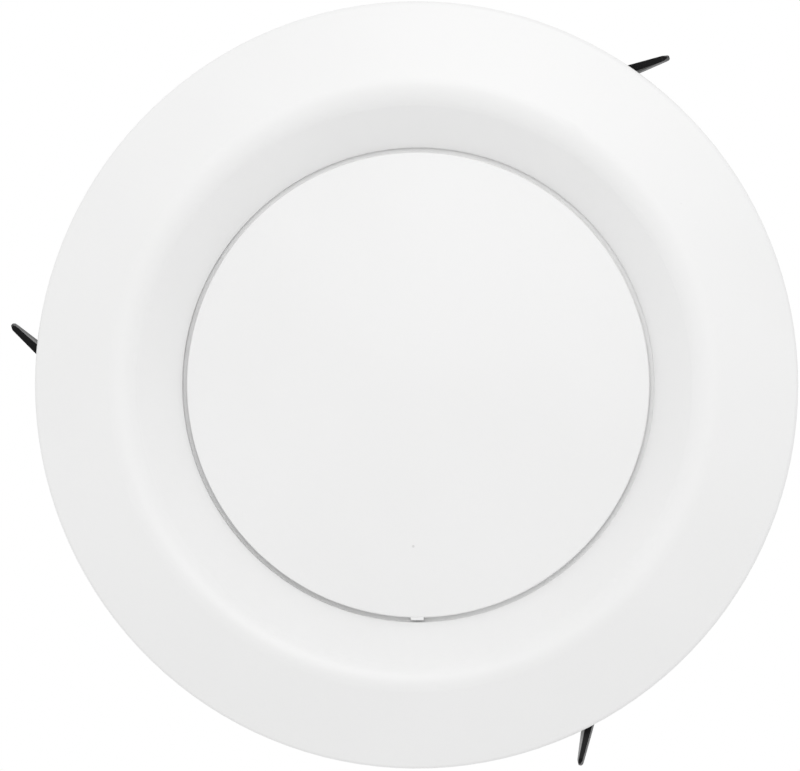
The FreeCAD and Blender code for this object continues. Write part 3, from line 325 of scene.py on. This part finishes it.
SLOT_PAINTS = {
    "white_plastic": white_face(),
    "black_plastic": black_arm("black_bracket_plastic", 0.0, 0.0, gloss=0.35),
    "collar_plastic": turned_plastic(
        "white_collar_plastic", (0.82, 0.825, 0.82), (0.77, 0.775, 0.77)),
    "nut_plastic": turned_plastic(
        "grey_nut_plastic", (0.74, 0.75, 0.76), (0.66, 0.67, 0.68), 1500.0),
    "steel": zinc_plate(),
    "spring_steel": drawn_wire(),
    "foam": cell_foam(),
}
for subpart in frame["record"]["subparts"]:
    for place in nodes[subpart["node"]].material_slots:
        place.material = SLOT_PAINTS[subpart["material_slot"]]

# Each arm's painted highlight on its bevel: how strong it is, and how far it goes on beside the
# bevel.
ARM_HIGHLIGHTS = ((1.0, 0.5), (0.9, 0.0), (0.35, 0.0))
for number, angle, (highlight_strength, wide) in zip("123", ARM_ANGLES, ARM_HIGHLIGHTS):
    arm_plastic = black_arm("black_arm_plastic_" + number, angle, highlight_strength, wide)
    for place in nodes["clamp_arm_" + number].material_slots:
        place.material = arm_plastic


def pour(part, bm):
    """Adds one mesh to another."""
    mesh = bpy.data.meshes.new("part")
    part.to_mesh(mesh)
    part.free()
    bm.from_mesh(mesh)
    bpy.data.meshes.remove(mesh)


def piece(name, body, node, slot, make, places=(Matrix(),), sharp=35.0):
    """A finished piece that stands for the named node: one shape, made at each place. A piece with
    no body here is attached to none."""
    bm = bmesh.new()
    for place in places:
        part = bmesh.new()
        make(part)
        bmesh.ops.transform(part, matrix=place, verts=part.verts)
        pour(part, bm)
    bmesh.ops.remove_doubles(bm, verts=bm.verts, dist=WELD)
    bmesh.ops.recalc_face_normals(bm, faces=bm.faces)
    mesh = bpy.data.meshes.new(name)
    bm.to_mesh(mesh)
    bm.free()
    mesh.shade_smooth()
    mesh.set_sharp_from_angle(angle=math.radians(sharp))
    mesh.materials.append(SLOT_PAINTS[slot])
    made = bpy.data.objects.new(name, mesh)
    bpy.context.scene.collection.objects.link(made)
    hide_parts(node)
    if body:
        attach(made, body)
    return made


def line(bm, corners, closed=False):
    """Edges through corners given as (radius, height)."""
    verts = [bm.verts.new((r * MM, 0, z * MM)) for r, z in corners]
    pairs = list(zip(verts, verts[1:])) + ([(verts[-1], verts[0])] if closed else [])
    return verts + [bm.edges.new(pair) for pair in pairs]


def lathe(bm, corners, steps, closed=False, turn=FULL_TURN):
    """Spins an outline about Z."""
    bmesh.ops.spin(
        bm, geom=line(bm, corners, closed), cent=(0, 0, 0), axis=(0, 0, 1), dvec=(0, 0, 0),
        angle=turn, steps=steps, use_merge=turn == FULL_TURN, use_duplicate=False)


def polar(verts, radius, height):
    """Moves verts to a radius and height, each at its own angle."""
    for vert in verts:
        angle = math.atan2(vert.co.y, vert.co.x)
        vert.co = (radius * MM * math.cos(angle), radius * MM * math.sin(angle), height * MM)


def extruded(bm, edges):
    """Extrudes edges in place and gives the new verts and edges."""
    made = bmesh.ops.extrude_edge_only(bm, edges=edges)["geom"]
    return (
        [v for v in made if isinstance(v, bmesh.types.BMVert)],
        [e for e in made if isinstance(e, bmesh.types.BMEdge) and e.is_boundary])


def thread(bm, low, high, crest, root, pitch, core, steps):
    """A right-hand thread round a hollow core, cut flat at both heights."""
    teeth = []
    height = low - 2 * pitch
    while height < high + pitch:
        # A groove's floor, and a crest with a flank on each side, as shares of the pitch.
        for radius, share in ((root, 0.0), (root, 0.3), (crest, 0.5), (crest, 0.8)):
            teeth.append((radius, height + share * pitch))
        height += pitch
    part = bmesh.new()
    bmesh.ops.spin(
        part, geom=line(part, teeth), cent=(0, 0, 0), axis=(0, 0, 1),
        dvec=(0, 0, pitch * MM / steps), angle=FULL_TURN, steps=steps, use_duplicate=False)
    bmesh.ops.remove_doubles(part, verts=part.verts, dist=WELD)
    middle = (low + high) / 2 * MM
    for height, inner in ((low, True), (high, False)):
        bmesh.ops.bisect_plane(
            part, geom=part.verts[:] + part.edges[:] + part.faces[:], dist=1e-7,
            plane_co=(0, 0, height * MM), plane_no=(0, 0, 1),
            clear_inner=inner, clear_outer=not inner)
        rim = [e for e in part.edges if e.is_boundary and
               (e.verts[0].co.z < middle) == inner]
        polar(extruded(part, rim)[0], core, height)
    bmesh.ops.bridge_loops(part, edges=[e for e in part.edges if e.is_boundary])
    pour(part, bm)


def screw(length, head):
    """A pan-head screw with a cross recess. Its seat is at 0 and its shank goes down."""
    cross_arm, half_width, depth, narrowing, tip = 1.75, 0.47, 1.25, 0.72, 1.2
    # The cross's radius at each angle, in degrees, from the middle of its nearest arm.
    cross = {0: cross_arm, 15: cross_arm / math.cos(math.radians(15.0)),
             30: 2 * half_width, 45: half_width * 1.414}
    dome = ((2.1, head), (2.7, head * 0.82), (3.0, head * 0.52), (3.08, head * 0.2),
            (3.0, 0.0), (1.3, 0.0))

    def make(bm):
        for vert in bmesh.ops.create_circle(bm, segments=24, radius=MM)["verts"]:
            angle = math.degrees(math.atan2(vert.co.y, vert.co.x))
            polar([vert], cross[round(abs((angle + 45.0) % 90.0 - 45.0))], head)
        rim = bm.edges[:]
        verts, edges = extruded(bm, rim)
        for vert in verts:
            vert.co = (vert.co.x * narrowing, vert.co.y * narrowing, (head - depth) * MM)
        bmesh.ops.triangle_fill(bm, edges=edges, use_beauty=True)
        edges = rim
        for radius, height in dome:
            verts, edges = extruded(bm, edges)
            polar(verts, radius, height)
        bmesh.ops.holes_fill(bm, edges=edges, sides=0)
        thread(bm, -length + tip, -0.01, crest=1.58, root=1.2, pitch=1.3, core=0.5, steps=18)
        lathe(bm, [(0.0, -length), (0.5, -length + 0.2), (1.15, -length + tip),
                   (0.0, -length + tip)], 18)
    return make


def rivet(bm):
    """A flat rivet sunk flush, with a dimple and an upset tail inside the spigot."""
    lathe(bm, [(0.0, -0.25), (0.7, -0.25), (1.0, -0.05), (2.7, 0.0), (2.88, -0.2), (2.88, -1.2),
               (1.6, -1.2), (1.6, -4.4), (2.3, -4.5), (2.3, -4.9), (1.5, -5.2), (0.0, -5.2)], 28)


def pin(bm):
    """A pivot pin with a domed head at each end."""
    lathe(bm, [(0.0, 70.15), (2.6, 70.3), (3.6, 70.75), (3.75, 71.2), (3.75, 71.45), (2.0, 71.5),
               (2.0, HEAD_FROM), (3.6, HEAD_FROM), (3.78, HEAD_FROM + 0.2), (3.78, HEAD_FROM + 0.7),
               (3.3, HEAD_FROM + 1.2), (1.4, HEAD_FROM + 1.4), (1.1, HEAD_FROM + 1.15),
               (0.0, HEAD_FROM + 1.15)], 28)


def washer(bm):
    """A flat washer under the pin's outer head."""
    low = HEAD_FROM - 0.8
    lathe(bm, [(2.02, low), (4.8, low), (4.9, low + 0.15), (4.9, low + 0.65), (4.8, low + 0.8),
               (2.02, low + 0.8)], 32, closed=True)


def spindle(bm):
    """The spindle's foot and hollow core, with the coarse thread of 6 mm a turn on it."""
    lathe(bm, [(4.5, 15.0), (24.0, 15.0), (24.0, 17.4), (23.4, 18.0), (9.2, 18.0), (8.3, 18.5),
               (7.9, 19.2), (6.9, 19.2), (6.9, 71.5), (6.8, 72.7), (8.0, 72.7), (8.0, 74.2),
               (6.8, 75.4), (5.1, 75.4), (4.5, 74.8)], 64, closed=True)
    thread(bm, 19.1, 71.5, crest=7.97, root=7.05, pitch=6.0, core=5.6, steps=48)


class Wire:
    """Round wire bent from its end: straight runs, bends and coils."""

    def __init__(self, bm, start, way, thick):
        self.bm = bm
        self.at = Vector(start)
        self.way = Vector(way).normalized()
        turn = self.way.to_track_quat("Z", "Y").to_matrix().to_4x4()
        made = bmesh.ops.create_circle(
            bm, cap_ends=True, segments=12, radius=thick / 2 * MM,
            matrix=Matrix.Translation(self.at * MM) @ turn)["verts"]
        self.end = made + list({e for v in made for e in v.link_edges if len(e.link_faces) == 1})

    def spin(self, centre, axis, angle, steps, climb=0.0):
        """Carries the wire's end round an axis, climbing along it."""
        axis = Vector(axis).normalized()
        centre = Vector(centre)
        made = bmesh.ops.spin(
            self.bm, geom=self.end, cent=centre * MM, axis=axis, dvec=axis * climb * MM / steps,
            angle=angle, steps=steps, use_duplicate=False)["geom_last"]
        self.end = [g for g in made if not isinstance(g, bmesh.types.BMFace)]
        turn = Matrix.Rotation(angle, 3, axis)
        self.at = centre + turn @ (self.at - centre) + axis * climb
        self.way = turn @ self.way

    def straight(self, length, steps=1):
        """Carries the wire's end straight on."""
        for _ in range(steps):
            made = bmesh.ops.extrude_edge_only(
                self.bm, edges=[g for g in self.end if isinstance(g, bmesh.types.BMEdge)])["geom"]
            verts = [g for g in made if isinstance(g, bmesh.types.BMVert)]
            bmesh.ops.translate(self.bm, vec=self.way * length / steps * MM, verts=verts)
            self.end = [g for g in made if not isinstance(g, bmesh.types.BMFace)]
        self.at = self.at + self.way * length

    def close(self):
        """Caps the wire's end."""
        edges = [g for g in self.end if isinstance(g, bmesh.types.BMEdge) and g.is_boundary]
        bmesh.ops.holes_fill(self.bm, edges=edges, sides=0)


def arm_spring(bm):
    """Torsion spring, drawn about the pivot: a leg hooked over the arm, three turns and
    a leg on the bracket's lug."""
    coil, climb, thick = 6.0, 5.304, 1.1
    arm_leg, bend, tip, lug_leg = 24.0, 1.6, 1.6, 14.5
    droop = math.radians(14.44)
    start = math.pi / 2 - droop
    point = Vector((COIL_FROM, coil * math.cos(start), coil * math.sin(start)))
    way = Vector((0, -math.sin(start), math.cos(start)))
    leg_end = point - way * (arm_leg - bend)
    hook = Vector((-1, 0, 0))
    centre = leg_end + hook * bend
    wire = Wire(bm, centre - way * bend + hook * tip, -hook, thick)
    wire.straight(tip)
    wire.spin(centre, way.cross(hook).normalized(), math.pi / 2, 6)
    wire.straight((point - leg_end).length, 6)
    wire.spin((COIL_FROM, 0, 0), (1, 0, 0), 3 * FULL_TURN + droop, 110, climb)
    wire.straight(lug_leg, 3)
    wire.close()


def disc_spring(bm):
    """Compression spring: five open turns between the cup and the bridge's hub."""
    coil, climb, thick = 12.2, 12.2, 1.4
    wire = Wire(bm, (coil, 0, 20.1), (0, coil, 1.95), thick)
    wire.spin((0, 0, 0), (0, 0, 1), 5 * FULL_TURN, 180, climb)
    wire.close()


def foam_ring(bm):
    """Foam strip laid round the rim's back, its two cut ends butted together."""
    rim_radius, rim_edge, shell_wall, slope = 130.0, 1.6, 2.4, math.radians(11.2)
    butt_joint, joint_at = math.radians(0.25), math.radians(200.0)

    def back(radius):
        """Height of the rim's back."""
        return shell_wall / math.cos(slope) - rim_edge - (rim_radius - radius) * math.tan(slope)

    section = ((114.15, 0.02), (121.85, 0.02), (122.0, 0.5), (122.05, 1.5), (121.9, 2.5),
               (121.3, 2.9), (119.5, 2.98), (116.5, 2.98), (114.7, 2.9), (114.1, 2.5),
               (113.95, 1.5), (114.0, 0.5))
    corners = [(radius, back(radius) + rise) for radius, rise in section]
    lathe(bm, corners, 180, closed=True, turn=FULL_TURN - butt_joint)
    bmesh.ops.holes_fill(bm, edges=[e for e in bm.edges if e.is_boundary], sides=0)
    bmesh.ops.rotate(
        bm, cent=(0, 0, 0), matrix=Matrix.Rotation(joint_at, 3, "Z"), verts=bm.verts)


def along_z(angle, radius, height):
    """A place at an angle round the axis."""
    return Matrix.Rotation(angle, 4, "Z") @ Matrix.Translation((radius * MM, 0, height * MM))


def at_pivot(k):
    """The place on the axis from which an arm's pin points outwards along X."""
    return along_z(ARM_ANGLES[k], 0.0, PIVOT_HEIGHT)


outward = Matrix.Rotation(math.pi / 2, 4, "Y")

piece("collar_cross_screws", "housing", "collar_screws", "steel", screw(8.2, 1.9),
      [along_z(angle + math.pi / 2, radius=87.2, height=17.7) for angle in EVEN_ANGLES])
piece("spider_cross_screws", "housing", "spider_screws", "steel", screw(7.6, 1.6),
      [along_z(angle + math.pi / 3, radius=74.0, height=39.0) @ outward
       for angle in EVEN_ANGLES])
piece("foot_cross_screws", "disc", "hub_screws", "steel", screw(6.6, 1.9),
      [along_z(math.radians(90.0 + 120.0 * k), radius=20.0, height=18.0) for k in range(3)])
piece("sunk_rivets", "housing", "bracket_rivets", "steel", rivet,
      [at_pivot(k) @ Matrix.Translation((BRACKET_FACE * MM, y * MM, z * MM)) @ outward
       for k in range(3) for y, z in ((-9.6, -8.6), (5.6, 9.4))])

for k, number in enumerate("123"):
    places = [at_pivot(k) @ outward]
    piece("pivot_pin_" + number, "housing", "arm_pin_" + number, "steel", pin, places)
    piece("pivot_washer_" + number, "housing", "arm_washer_" + number, "steel", washer, places)

piece("threaded_spindle", "disc", "spindle", "collar_plastic", spindle)

for k, number in enumerate("123"):
    made = piece("torsion_spring_" + number, None, "arm_spring_" + number, "spring_steel",
                 arm_spring, [at_pivot(k)], sharp=60.0)
    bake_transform(made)

made = piece("play_spring", None, "tension_spring", "spring_steel", disc_spring, sharp=60.0)
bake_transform(made)
made = piece("foam_seal", "housing", "rim_gasket", "foam", foam_ring)


def looked_at(base):
    """1 where the camera or a gloss looks, 0 for the light that falls on things."""
    rays = base.add("ShaderNodeLightPath").socket.node.outputs
    seen = Shade(base.tree, rays["Is Camera Ray"])
    for kind in ("Is Glossy Ray", "Is Transmission Ray"):
        seen = seen.maths("MAXIMUM", seen, Shade(base.tree, rays[kind]))
    return seen


def room(level, white):
    """The world: a plain level of light, and white where the camera or a gloss looks."""
    world = bpy.data.worlds.new("studio")
    bpy.context.scene.world = world
    world.use_nodes = True
    tree = world.node_tree
    tree.nodes.clear()
    base = Shade(tree)
    light = base.add("ShaderNodeBackground", {"Color": WHITE, "Strength": level})
    backdrop = base.add("ShaderNodeBackground", {"Color": WHITE, "Strength": white})
    mixed = base.add("ShaderNodeMixShader", {0: looked_at(base), 1: light, 2: backdrop})
    output = tree.nodes.new("ShaderNodeOutputWorld")
    tree.links.new(mixed.socket, output.inputs["Surface"])


def lamp(name, place, size, power):
    """A square soft box at the place, turned to the diffuser."""
    data = bpy.data.lights.new(name, "AREA")
    data.shape = "SQUARE"
    data.size = size
    data.energy = power
    made = bpy.data.objects.new(name, data)
    bpy.context.scene.collection.objects.link(made)
    made.location = place
    made.rotation_euler = (-Vector(place)).to_track_quat("-Z", "Y").to_euler()
    made.visible_camera = False


def pale_floor(height, radius, white_from, white_at):
    """The floor of the room, far below, so that it stays behind the camera. A long way off
    it turns into the white of the room."""
    bpy.ops.mesh.primitive_circle_add(
        vertices=128, radius=radius, fill_type="NGON", location=(0, 0, height))
    floor = bpy.context.object
    floor.name = "floor"
    material, base, where = paint("floor_paint")
    cloud = base.noise(where, 0.8)
    grain = base.noise(where, 400.0)
    tone = base.mix(cloud, (0.84, 0.84, 0.84), (0.88, 0.88, 0.88))
    lay(material, tone, 0.6 + cloud * 0.2, base.bump(grain, 0.0001, 0.3))
    far = looked_at(base) * base.length(where).between(white_from, white_at)
    shader = Shade(base.tree, base.tree.nodes["Principled BSDF"].outputs[0])
    white = base.add("ShaderNodeEmission", {"Color": WHITE, "Strength": 1.0})
    mixed = base.add("ShaderNodeMixShader", {0: far, 1: shader, 2: white})
    base.tree.links.new(mixed.socket, base.tree.nodes["Material Output"].inputs["Surface"])
    floor.data.materials.append(material)


room(level=0.9, white=1.0)
lamp("key_box", place=(0.04, -0.38, -0.78), size=0.4, power=1.85)
pale_floor(height=-3.7, radius=45.0, white_from=4.5, white_at=13.0)

# The camera hangs below the face, a little to the +X side. PIXELS is the lens's length in
# pixels, of which 2951 make a metre at the face, and ASIDE is how many of them the axis
# lies from the picture's middle.
TILT = math.radians(6.2)
AWAY = 2.2
PICTURE_WIDTH = 800.0
SENSOR_WIDTH = 36.0
PIXELS = 2951.0 * AWAY
ASIDE = (-14.3, -0.6)
camera_data = bpy.data.cameras.new("camera")
camera_data.sensor_width = SENSOR_WIDTH
camera_data.lens = PIXELS * SENSOR_WIDTH / PICTURE_WIDTH
camera = bpy.data.objects.new("camera", camera_data)
bpy.context.scene.collection.objects.link(camera)
camera.rotation_euler = (math.pi, -TILT, 0)
camera.location = camera.rotation_euler.to_matrix() @ Vector(
    (ASIDE[0] * AWAY / PIXELS, ASIDE[1] * AWAY / PIXELS, AWAY))
bpy.context.scene.camera = camera
bpy.context.scene.view_settings.view_transform = "Standard"
